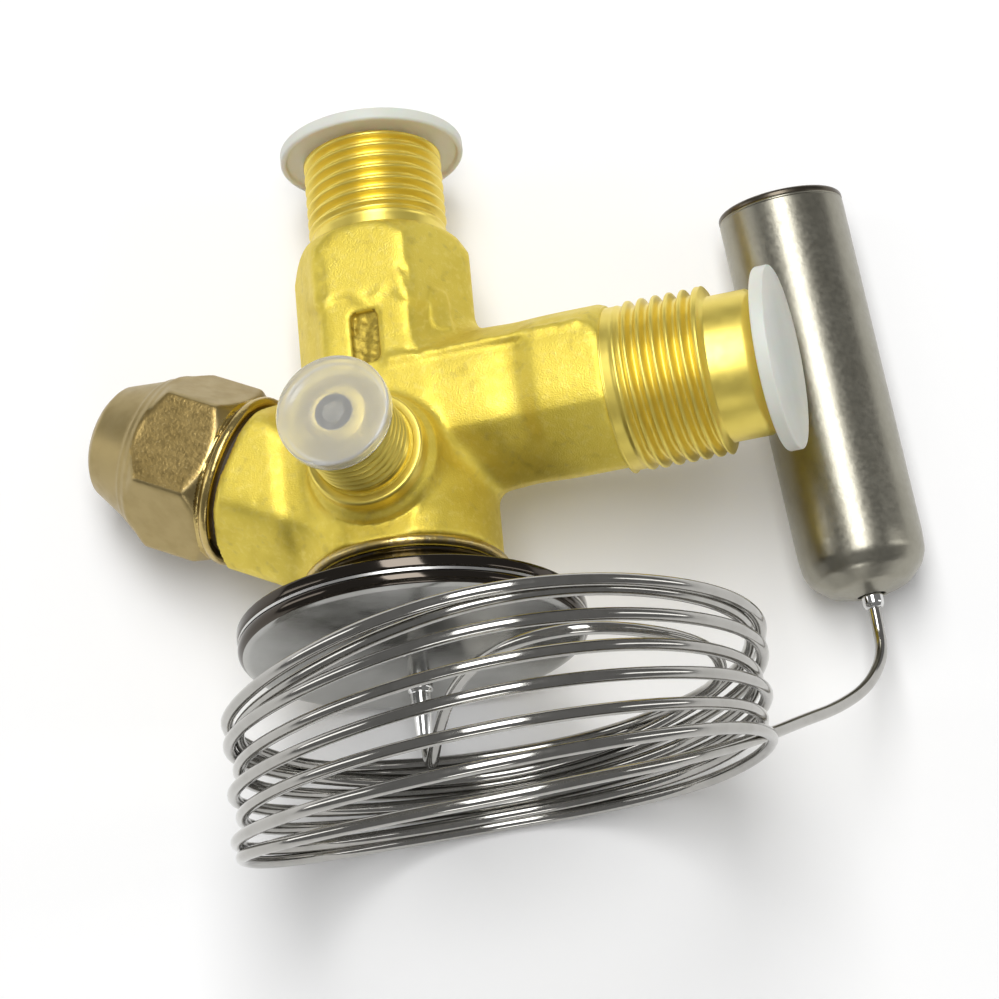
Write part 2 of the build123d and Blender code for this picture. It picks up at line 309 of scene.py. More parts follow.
# ---------------------------------------------------------------- the forged body
def forged_body():
    h = 0.32
    lo, hi = (-21.0, -19.5, -12.5), (28.5, 24.0, 15.0)
    X, Y, Z = grid(lo, hi, h)
    # inlet boss
    a, b, t, r = about(MAIN, X, Y, Z)
    inlet = smax(sd_hex(X, Z, FLAT, 90, 0.55), sd_poly(r, t, [(0, -3), (10.45, -3), (10.45, 20.4), (9.5, 22.1), (8.9, 22.7), (0, 22.7)]), 0.5)
    # outlet arm, slightly waisted between the block and its end
    waist = 0.2 * np.exp(-((X - 15.6) / 2.6) ** 2)
    _, _, tx, rx = about(OUT, X, Y, Z)
    side = sd_hex(Y - 0.5, Z, FLAT, 90, 0.7)
    side = side + step(3.5, -1.5, Y) * (smax(side, np.sqrt((Y - 0.5) ** 2 + Z ** 2) - 9.7, 1.4) - side)
    arm = smax(side + waist, sd_poly(rx, tx, [(0, 0), (10.1, 0), (10.1, 25.4), (9.4, 26.5), (0, 26.6)]), 0.6)
    # spindle boss
    sa, sb, ts, rs = about(SPIN, X, Y, Z)
    boss = smax(sd_hex(sa, sb, FLAT, 0, 0.6), sd_poly(rs, ts, [(0, 0), (10.2, 0), (10.2, 18.5), (9.4, 19.3), (0, 19.3)]), 0.5)
    boss = smax(boss, -16.4 - Y, 0.5)
    core = smin(smin(inlet, arm, 2.6), boss, 2.2)
    core = smax(core, np.abs(Z) - FLAT, 0.35)
    # the forged skin between the raised flats lies a little lower
    front = step(4.0, 7.0, Z)
    edge = 12.9 - 0.13 * X + 0.5 * np.cos((X + 2.6) * 1.15)
    low = step(edge + 0.55, edge - 0.55, Y) * step(18.9, 16.6, X) * step(-12.5, -10.5, X)
    core = core + 0.34 * low * front
    core = core + 0.2 * front * np.exp(-((X - 16.2) / 1.7) ** 2) * step(7.5, 3.0, np.abs(Y - 0.5))
    # ridge left by the tooling along the arm's upper front edge
    rx0, rx1 = 2.4, 24.0
    tt = np.clip((X - rx0) / (rx1 - rx0), 0, 1)
    dl = np.sqrt((X - rx0 - tt * (rx1 - rx0)) ** 2 + (Y - 5.05) ** 2 + (Z - 8.75) ** 2)
    core = smin(core, dl - 0.42, 0.9)
    # neck above the element
    neck = sd_poly(r, t, [(0, -18.2), (9.6, -18.2), (9.6, -17.0), (10.9, -16.5), (10.9, -8.5), (9.6, -3), (0, -3)])
    body = smin(core, neck, 1.8)
    # equaliser stub
    _, _, tz, rz = about(EQ, X, Y, Z)
    stub = sd_poly(rz, tz, [(0, 0), (7.6, 0), (7.6, 10.8), (6.7, 11.6), (6.7, 13.6), (0, 13.6)])
    body = smin(body, stub, 1.6)
    body = np.maximum(body, sd_poly(rz, tz, [(0, -30), (40, -30), (40, 10.2), (7.75, 10.2), (7.6, 10.8), (6.75, 11.55), (6.7, 13.6), (0, 13.6)]))
    # oblong recess in the front of the block, and the proud patch beside it
    qx, qy = np.abs(X + 0.15) - 1.05, np.abs(Y - 8.5) - 2.6
    dd = np.sqrt(np.maximum(qx, 0) ** 2 + np.maximum(qy, 0) ** 2) + np.minimum(np.maximum(qx, qy), 0) - 0.5
    floor_z = 8.1 + 0.22 * np.sin(2.9 * X + 1.3 * Y) * np.cos(2.1 * Y - 1.1 * X)
    body = smax(body, -np.maximum(dd, floor_z - Z), 0.22)
    nx, nz = 0.8660254, 0.5
    along = -nz * X + nx * Z
    pd = np.sqrt(((Y - 11.6) / 2.6) ** 4 + ((along - 0.55) / 1.45) ** 4)
    body = body - 0.3 * step(1.12, 0.8, pd) * step(6.0, 8.0, nx * X + nz * Z)
    # small pits and scars in the forged skin
    rng = np.random.default_rng(11)
    scars = [(-5.0 + 0.25 * rng.standard_normal(), 13.5 + 7.6 * rng.random(), 9.1, 0.3 + 0.25 * rng.random(), 0.16) for _ in range(16)]
    scars += [(5.1 + 0.5 * rng.standard_normal(), 15.2 + 0.8 * rng.standard_normal(), 9.1, 0.3 + 0.2 * rng.random(), 0.24) for _ in range(9)]
    scars += [(4.0 + 13.0 * rng.random(), 5.5 + 0.12 * rng.standard_normal(), 8.9, 0.22 + 0.2 * rng.random(), 0.16) for _ in range(18)]
    scars += [(18.2 + 6.5 * rng.random(), 5.3 + 0.25 * rng.standard_normal(), 9.2, 0.25 + 0.2 * rng.random(), 0.14) for _ in range(10)]
    scars += [(-4.6 + 9.4 * rng.random(), 12.6 + 1.2 * rng.random(), 9.2, 0.3 + 0.25 * rng.random(), 0.1) for _ in range(14)]
    scars += [(-0.1 + 1.1 * rng.uniform(-1, 1), 8.5 + 2.6 * rng.uniform(-1, 1), 8.2, 0.35 + 0.2 * rng.random(), 0.22) for _ in range(10)]
    scars += [(13.65, -8.5, 3.02, 0.42, 0.4), (-14.0, -9.0, 8.9, 0.5, 0.12), (8.9, 9.2, 4.2, 0.4, 0.14)]
    for cx, cy, cz, cr, depth in scars:
        i0, i1 = [int(np.clip((q - lo[0]) / h, 0, X.shape[0])) for q in (cx - 3 * cr, cx + 3 * cr + h)]
        j0, j1 = [int(np.clip((q - lo[1]) / h, 0, X.shape[1])) for q in (cy - 3 * cr, cy + 3 * cr + h)]
        k0, k1 = [int(np.clip((q - lo[2]) / h, 0, X.shape[2])) for q in (cz - 3 * cr, cz + 3 * cr + h)]
        w = (slice(i0, i1), slice(j0, j1), slice(k0, k1))
        body[w] += depth * np.exp(-((X[w] - cx) ** 2 + (Y[w] - cy) ** 2 + (Z[w] - cz) ** 2) / (cr * cr))
    # mouths and bores, as the model has them
    cuts = sd_poly(r, t, [(0, -1), (3.0, -1), (3.0, 8.2), (5.2, 8.2), (5.2, 32.6), (5.2, 36), (0, 36)])
    cuts = np.minimum(cuts, sd_poly(rx, tx, [(0, -2.2), (5.3, -2.2), (5.3, 45), (0, 45)]))
    cuts = np.minimum(cuts, sd_poly(r, t, [(0, -19.9), (8.6, -19.9), (8.6, -8.0), (0, -8.0)]))
    cuts = np.minimum(cuts, sd_poly(r, t, [(0, -9), (1.15, -9), (1.15, 0), (0, 0)]))
    cuts = np.minimum(cuts, sd_poly(rz, tz, [(0, 7.2), (2.1, 7.2), (2.1, 25), (0, 25)]))
    cuts = np.minimum(cuts, sd_poly(rs, ts, [(0, 2.0), (4.2, 2.0), (4.2, 7.4), (3.9, 7.4), (3.9, 9.4), (2.6, 9.4), (2.6, 11.4), (4.3, 11.4), (4.3, 13.2), (4.9, 13.2), (4.9, 20), (0, 20)]))
    body = np.maximum(body, -cuts)
    v, q = nets(body, lo, h)
    return make("forged_body", to_row(v), q.tolist())


def dressed_cap():
    """The seal cap: a hexagon with eased corners, a collar and a turned nose."""
    h = 0.24
    axis, u, v = basis(SPIN[1], SPIN[2])
    lo, hi = (-11.6, -11.6, 19.2), (11.6, 11.6, 39.0)
    A, B, S = grid(lo, hi, h)
    R = np.sqrt(A * A + B * B)
    hexa = smax(sd_hex(A, B, 9.36, -33.6 + 30, 0.3), sd_poly(R, S, [(0, 21.4), (9.2, 21.4), (9.5, 21.55), (10.72, 22.9), (10.72, 29.2), (8.8, 31.6), (8.7, 32), (0, 32)]), 0.35)
    nose = sd_poly(R, S, [(0, 30), (9.3, 30.9), (8.9, 31.6), (6.5, 37.3), (5.4, 38.15), (0, 38.4)])
    cap = smin(hexa, nose, 0.7)
    cap = np.minimum(cap, sd_poly(R, S, [(0, 19.8), (9.6, 19.8), (9.88, 20.1), (9.88, 20.75), (9.5, 21.1), (9.2, 21.2), (9.2, 21.6), (0, 21.6)]))
    cap = np.maximum(cap, -sd_poly(R, S, [(0, 18.5), (5.6, 18.5), (5.6, 30.5), (0, 30.5)]))
    vv, q = nets(cap, lo, h)
    pts = np.array(SORG) + vv[:, :1] * u + vv[:, 1:2] * v + vv[:, 2:] * axis
    return make("dressed_seal_cap", to_row(pts), q.tolist())


# ---------------------------------------------------------------- materials
def material(name, colour, rough, metallic=1.0, patches=(), rough_noise=None, bumps=(), extra=None, **sockets):
    """Principled surface. patches: (scale, low, high, colour, most) mixes of noise; bumps: (scale, detail, distance, strength)."""
    m = bpy.data.materials.new(name)
    m.use_nodes = True
    nt = m.node_tree
    p = nt.nodes["Principled BSDF"]
    tc = nt.nodes.new("ShaderNodeTexCoord")
    p.inputs["Metallic"].default_value = metallic
    p.inputs["Roughness"].default_value = rough
    p.inputs["Base Color"].default_value = (*colour, 1)
    for k, val in sockets.items():
        p.inputs[k.replace("_", " ")].default_value = val
    src = None
    for scale, low, high, col, most in patches:
        n = nt.nodes.new("ShaderNodeTexNoise")
        n.inputs["Scale"].default_value = scale
        n.inputs["Detail"].default_value = 5
        nt.links.new(tc.outputs["Object"], n.inputs["Vector"])
        mr = nt.nodes.new("ShaderNodeMapRange")
        mr.inputs["From Min"].default_value = low
        mr.inputs["From Max"].default_value = high
        mr.inputs["To Max"].default_value = most
        nt.links.new(n.outputs["Fac"], mr.inputs["Value"])
        mix = nt.nodes.new("ShaderNodeMix")
        mix.data_type = "RGBA"
        nt.links.new(mr.outputs["Result"], mix.inputs[0])
        if src is None:
            mix.inputs[6].default_value = (*colour, 1)
        else:
            nt.links.new(src, mix.inputs[6])
        mix.inputs[7].default_value = (*col, 1)
        src = mix.outputs[2]
    if src is not None:
        nt.links.new(src, p.inputs["Base Color"])
    if rough_noise:
        scale, lo_r, hi_r = rough_noise
        n = nt.nodes.new("ShaderNodeTexNoise")
        n.inputs["Scale"].default_value = scale
        n.inputs["Detail"].default_value = 4
        nt.links.new(tc.outputs["Object"], n.inputs["Vector"])
        mr = nt.nodes.new("ShaderNodeMapRange")
        mr.inputs["From Min"].default_value = 0.3
        mr.inputs["From Max"].default_value = 0.7
        mr.inputs["To Min"].default_value = lo_r
        mr.inputs["To Max"].default_value = hi_r
        nt.links.new(n.outputs["Fac"], mr.inputs["Value"])
        nt.links.new(mr.outputs["Result"], p.inputs["Roughness"])
    last = None
    for scale, detail, dist, strength in bumps:
        n = nt.nodes.new("ShaderNodeTexNoise")
        n.inputs["Scale"].default_value = scale
        n.inputs["Detail"].default_value = detail
        nt.links.new(tc.outputs["Object"], n.inputs["Vector"])
        bp = nt.nodes.new("ShaderNodeBump")
        bp.inputs["Distance"].default_value = dist
        bp.inputs["Strength"].default_value = strength
        nt.links.new(n.outputs["Fac"], bp.inputs["Height"])
        if last is not None:
            nt.links.new(last, bp.inputs["Normal"])
        last = bp.outputs["Normal"]
    if last is not None:
        nt.links.new(last, p.inputs["Normal"])
    if extra:
        extra(nt, p, tc)
    return m


BRASS = (0.82, 0.66, 0.105)
forged = material("forged_brass", BRASS, 0.48, metallic=0.8, patches=[(160, 0.42, 0.68, (0.68, 0.53, 0.065), 0.6), (1400, 0.5, 0.72, (0.93, 0.79, 0.22), 0.45), (700, 0.58, 0.72, (0.45, 0.33, 0.04), 0.4)],
                  rough_noise=(500, 0.44, 0.58), bumps=[(420, 3, 0.0001, 0.25), (5200, 3, 0.00004, 1.0)])
# darker brass for the recess floor: painted shade, standing for the shade inside the recess
recess_shade_paint = material("recess_painted_shade_brass", (0.55, 0.42, 0.07), 0.55, metallic=0.8, patches=[(1500, 0.42, 0.6, (0.32, 0.235, 0.04), 0.7)], bumps=[(2600, 3, 0.00008, 1.0)])
collar = material("bronze_collar", (0.55, 0.42, 0.16), 0.26, patches=[(400, 0.45, 0.65, (0.42, 0.31, 0.11), 0.6)])
turned = material("turned_brass", (0.88, 0.71, 0.15), 0.36, metallic=0.82, patches=[(300, 0.45, 0.7, (0.80, 0.63, 0.11), 0.4)], rough_noise=(700, 0.32, 0.42))
bronze = material("dull_bronze", (0.40, 0.29, 0.11), 0.42, patches=[(350, 0.45, 0.65, (0.29, 0.205, 0.07), 0.5), (2600, 0.6, 0.74, (0.68, 0.54, 0.27), 0.45)],
                  rough_noise=(1500, 0.34, 0.5), bumps=[(2800, 2, 0.00005, 0.9), (400, 2, 0.00005, 0.2)])
bronze_smooth = material("turned_bronze", (0.40, 0.31, 0.14), 0.38, patches=[(300, 0.45, 0.65, (0.33, 0.25, 0.10), 0.5)], rough_noise=(600, 0.34, 0.44), bumps=[(1800, 2, 0.00001, 0.5)])
steel = material("bright_steel", (0.72, 0.72, 0.71), 0.12, patches=[(260, 0.4, 0.7, (0.6, 0.6, 0.585), 0.5)], rough_noise=(300, 0.08, 0.16), bumps=[(300, 2, 0.00003, 0.15)])
element = material("drawn_steel", (0.42, 0.42, 0.40), 0.22, patches=[(140, 0.4, 0.65, (0.3, 0.295, 0.275), 0.6)], rough_noise=(260, 0.14, 0.26), bumps=[(220, 2, 0.0001, 0.12)])
# near-black steel for the element's cone and rim: painted dark reflection, standing for the dark room the polished
# steel mirrors
rim = material("rim_painted_dark_reflection", (0.07, 0.06, 0.05), 0.1, bumps=[(500, 2, 0.00002, 0.2)])
bulb_m = material("brushed_bulb", (0.33, 0.315, 0.26), 0.33, patches=[(300, 0.42, 0.66, (0.27, 0.255, 0.205), 0.5)], rough_noise=(1600, 0.28, 0.38), bumps=[(1500, 3, 0.00003, 0.5)])
# near-black colour for the bevel round the bulb's flat end: painted shade on the bevel
bulb_bevel_painted_shade = material("bulb_bevel_painted_shade", (0.10, 0.085, 0.065), 0.3, patches=[(600, 0.45, 0.65, (0.16, 0.14, 0.11), 0.5)])
tube_m = material("capillary_steel", (0.44, 0.43, 0.405), 0.13, patches=[(500, 0.45, 0.65, (0.37, 0.36, 0.335), 0.5)], rough_noise=(900, 0.08, 0.15))
braze = material("braze_bead", (0.60, 0.46, 0.17), 0.34, patches=[(1200, 0.5, 0.65, (0.5, 0.44, 0.3), 0.6)], bumps=[(1600, 3, 0.0001, 0.7)])
milky = material("milky_plug", (0.91, 0.905, 0.82), 0.4, metallic=0.0, patches=[(160, 0.42, 0.66, (0.97, 0.965, 0.90), 0.7)], bumps=[(260, 2, 0.0001, 0.4)],
                 Transmission_Weight=0.3, IOR=1.45, Subsurface_Weight=0.3, Subsurface_Scale=0.004)
clear = material("clear_cap", (0.93, 0.925, 0.88), 0.16, metallic=0.0, patches=[(260, 0.45, 0.7, (0.98, 0.97, 0.94), 0.5)], bumps=[(300, 2, 0.00005, 0.25)], Transmission_Weight=0.72, IOR=1.45)
inner_brass = material("inner_brass", (0.7, 0.53, 0.22), 0.3, patches=[(900, 0.5, 0.7, (0.55, 0.4, 0.15), 0.4)])
inner_steel = material("inner_steel", (0.62, 0.62, 0.6), 0.3, patches=[(900, 0.5, 0.7, (0.5, 0.5, 0.49), 0.4)])
packing = material("packing", (0.09, 0.085, 0.08), 0.7, metallic=0.0, patches=[(900, 0.5, 0.7, (0.14, 0.135, 0.13), 0.5)])
white_seal = material("white_seal", (0.85, 0.85, 0.83), 0.5, metallic=0.0, patches=[(900, 0.5, 0.7, (0.78, 0.78, 0.76), 0.5)])
gasket_m = material("gasket", (0.06, 0.045, 0.03), 0.6, metallic=0.0, patches=[(900, 0.5, 0.7, (0.1, 0.08, 0.05), 0.5)])


def give(ob, mat, body=None, nodes=()):
    ob.data.materials.clear()
    ob.data.materials.append(mat)
    if nodes:
        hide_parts(*nodes)
    if body:
        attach(ob, body)
    return ob


def band(ob, mat, plane, radius, past=1e9, before=-1e9, row=False):
    """A second finish on the faces beyond a radius, between two heights of the plane's axis, in mm."""
    o = np.array(plane[0], float)
    axis, u, v = basis(plane[1], plane[2])
    ob.data.materials.append(mat)
    nf = len(ob.data.polygons)
    c = np.zeros(nf * 3)
    ob.data.polygons.foreach_get("center", c)
    c = c.reshape(-1, 3) * 1000
    c = (c if row else (c - O) @ W) - o
    h = c @ axis
    r = np.linalg.norm(c - h[:, None] * axis, axis=1)
    idx = ((r > radius) & (h < past) & (h > before)).astype(int)
    ob.data.polygons.foreach_set("material_index", idx.tolist())
    return ob


for names, mat in ((("cartridge_seal",), white_seal), (("orifice_cartridge", "adjusting_ring", "spring_seat", "gland_nut"), inner_brass),
                   (("valve_cone", "cone_spring", "spring_stop", "strainer", "thrust_pad", "push_pin", "superheat_spring", "setting_spindle", "diaphragm"), inner_steel),
                   (("spindle_packing",), packing), (("seal_cap_gasket",), gasket_m)):
    for nm in names:
        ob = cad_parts[nm]
        ob.data.materials.clear()
        ob.data.materials.append(mat)

# ---------------------------------------------------------------- pieces
body_ob = give(forged_body(), forged, "valve", ["valve_body"])
body_ob.data.materials.append(recess_shade_paint)
nb = len(body_ob.data.polygons)
bc = np.zeros(nb * 3)
body_ob.data.polygons.foreach_get("center", bc)
bc = (bc.reshape(-1, 3) * 1000 - O) @ W
# faces of the recess floor, which take the painted shade
painted_shade_recess = (np.abs(bc[:, 0] + 0.15) < 1.6) & (np.abs(bc[:, 1] - 8.5) < 3.15) & (bc[:, 2] > 7.4) & (bc[:, 2] < 8.72)
body_ob.data.polygons.foreach_set("material_index", painted_shade_recess.astype(int).tolist())
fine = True
give(threaded("inlet_thread", MAIN, 7.9375, 0.8, 1.4111, 22.4, 34.3, 1.9, [(7.7, 34.5), (7.05, 34.9), (6.6, 35.0), (5.9, 35.0), (5.2, 34.2)], 5.2, 0.46, per=14 if fine else 6),
     turned, "valve")
give(threaded("outlet_thread", OUT, 9.525, 0.9, 1.5875, 26.3, 37.45, 1.2, [(9.3, 37.6), (8.3, 37.95), (8.25, 38.1), (8.25, 42.2), (7.9, 42.8), (6.8, 43.85), (6.5, 44.0), (5.3, 44.0)], 5.3, 0.2, per=14 if fine else 6),
     turned, "valve")
give(threaded("equalizer_thread", EQ, 5.54, 0.55, 1.27, 13.3, 22.5, 0.5, [(5.4, 22.65), (4.9, 22.95), (3.6, 23.9), (3.4, 24.0), (2.1, 24.0)], 2.1, 0.1, n=90, per=12 if fine else 6),
     turned, "valve")
give(lathe("equalizer_collar", EQ, [(5.6, 11.2), (6.66, 11.2), (6.72, 11.6), (6.72, 13.4), (6.5, 13.66), (5.6, 13.66)], 0.2), turned, "valve")
cap_ob = give(dressed_cap(), bronze, "cap", ["seal_cap"])
band(cap_ob, collar, SPIN, 0, past=21.7)
cap_ob.data.materials.append(bronze_smooth)
nf = len(cap_ob.data.polygons)
cc, nn, mi = np.zeros(nf * 3), np.zeros(nf * 3), np.zeros(nf, int)
cap_ob.data.polygons.foreach_get("center", cc)
cap_ob.data.polygons.foreach_get("normal", nn)
cap_ob.data.polygons.foreach_get("material_index", mi)
cc = (cc.reshape(-1, 3) * 1000 - O) @ W - SORG
nn = nn.reshape(-1, 3) @ W
upper = np.array([0.0, 0.0, 1.0]) * math.cos(math.radians(3.6)) + np.cross(SDIR, [0.0, 0.0, 1.0]) * math.sin(math.radians(-3.6))
# the sandy hexagon face, against the smoother ones and the turned nose
sandy = (nn @ upper > 0.94) & (cc @ SDIR < 31.0)
mi[(mi == 0) & ~sandy] = 2
cap_ob.data.polygons.foreach_set("material_index", mi.tolist())

give(lathe("element_shell_upper", MAIN, [(9.6, -18.0), (10.9, -18.0), (10.95, -18.6), (12.0, -20.2), (18.3, -22.6), (19.25, -22.6), (19.5, -22.85), (19.5, -24.15), (17.2, -24.15), (15.5, -22.9), (11.2, -21.1), (9.6, -19.4)], 0.45, n=160),
     element, "valve", ["element_upper"])
# the cone and rim beyond this radius take the painted dark reflection
band(bpy.data.objects["element_shell_upper"], rim, MAIN, 10.6)
give(lathe("element_shell_lower", MAIN, [(0, -26.0), (18.4, -26.0), (19.1, -25.8), (19.5, -25.3), (19.5, -24.45), (17.0, -24.45), (15.6, -25.0), (0, -25.0)], 0.35, n=160),
     element, "valve", ["element_lower"])
band(bpy.data.objects["element_shell_lower"], rim, MAIN, 18.95)
give(lathe("weld_bead", MAIN, [(10.9, -16.95), (11.25, -16.9), (11.6, -17.25), (11.6, -17.7), (11.3, -18.0), (10.9, -18.0)], 0.2, n=140), braze, "valve", ["joint_ring"])
give(lathe("tube_stub", STUB, [(0, 26.0), (1.5, 26.0), (1.5, 26.8), (1.25, 27.2), (0.95, 32.4), (0.72, 32.4), (0, 32.4)], 0.15, n=48), steel, "valve", ["capillary_stub"])
give(lathe("inlet_plug_disc", MAIN, [(3.4, 28.8), (4.2, 28.8), (4.2, 35.05), (9.8, 35.05), (9.9, 34.6), (10.35, 34.6), (10.55, 34.8), (10.55, 36.0), (0, 36.0), (0, 35.05), (3.4, 35.05)], 0.16, n=128),
     milky, "plug_in", ["inlet_plug"])
give(lathe("outlet_plug_disc", OUT, [(4.4, 34.5), (5.2, 34.5), (5.2, 44.05), (9.6, 44.05), (9.7, 43.7), (10.25, 43.7), (10.4, 43.9), (10.4, 45.3), (0, 45.3), (0, 44.05), (4.4, 44.05)], 0.18, n=128),
     milky, "plug_out", ["outlet_plug"])
give(lathe("clear_equalizer_cap", EQ, [(1.2, 19.0), (2.05, 19.0), (2.05, 24.05), (5.65, 24.05), (5.7, 23.2), (6.3, 23.2), (6.4, 23.4), (6.4, 24.8), (6.2, 25.0), (0, 25.0), (0, 24.05), (1.2, 24.05)], 0.14, n=112),
     clear, "cap_eq", ["equalizer_cap"])
bulb = give(lathe("bulb_body", BULB, [(0, 0.9), (6.2, 0.9), (6.35, 0.0), (7.0, 0.0), (7.25, 0.25), (7.25, 0.7), (7.12, 0.8), (7.12, 0.95), (7.25, 1.05), (7.25, 41.2), (7.1, 43.2), (6.45, 44.7), (4.6, 46.4), (1.9, 47.2), (1.6, 47.2), (1.6, 45.8), (0, 45.8)], 0.5, n=144, row=True, steps=5),
            bulb_m, "valve", ["bulb"])
# the bevel round the flat end takes the painted shade
band(bulb, bulb_bevel_painted_shade, BULB, 6.6, past=0.75, row=True)
neck = give(lathe("bulb_neck_collar", BULB, [(0.7, 45.8), (1.25, 45.8), (1.25, 48.2), (1.0, 48.7), (0.7, 48.7)], 0.2, n=48, row=True), steel, "valve", ["bulb_neck"])
pip = give(lathe("bulb_fill_pip", BULB, [(0, 0.9), (1.1, 0.9), (1.1, -0.4), (0.7, -1.1), (0, -1.1)], 0.25, n=40, row=True), steel, "valve", ["bulb_pip"])

# the two springs, wound as wire between their seats
cone_wire = give(wound("cone_spring_wire", 2.5, 0.5, 13.3, 18.1, 4.5), inner_steel, None, ["cone_spring"])
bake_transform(cone_wire)
heat_wire = give(wound("superheat_spring_wire", 6.6, 1.0, -21.55, -17.75, 2.5), inner_steel, None, ["superheat_spring"])
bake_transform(heat_wire)

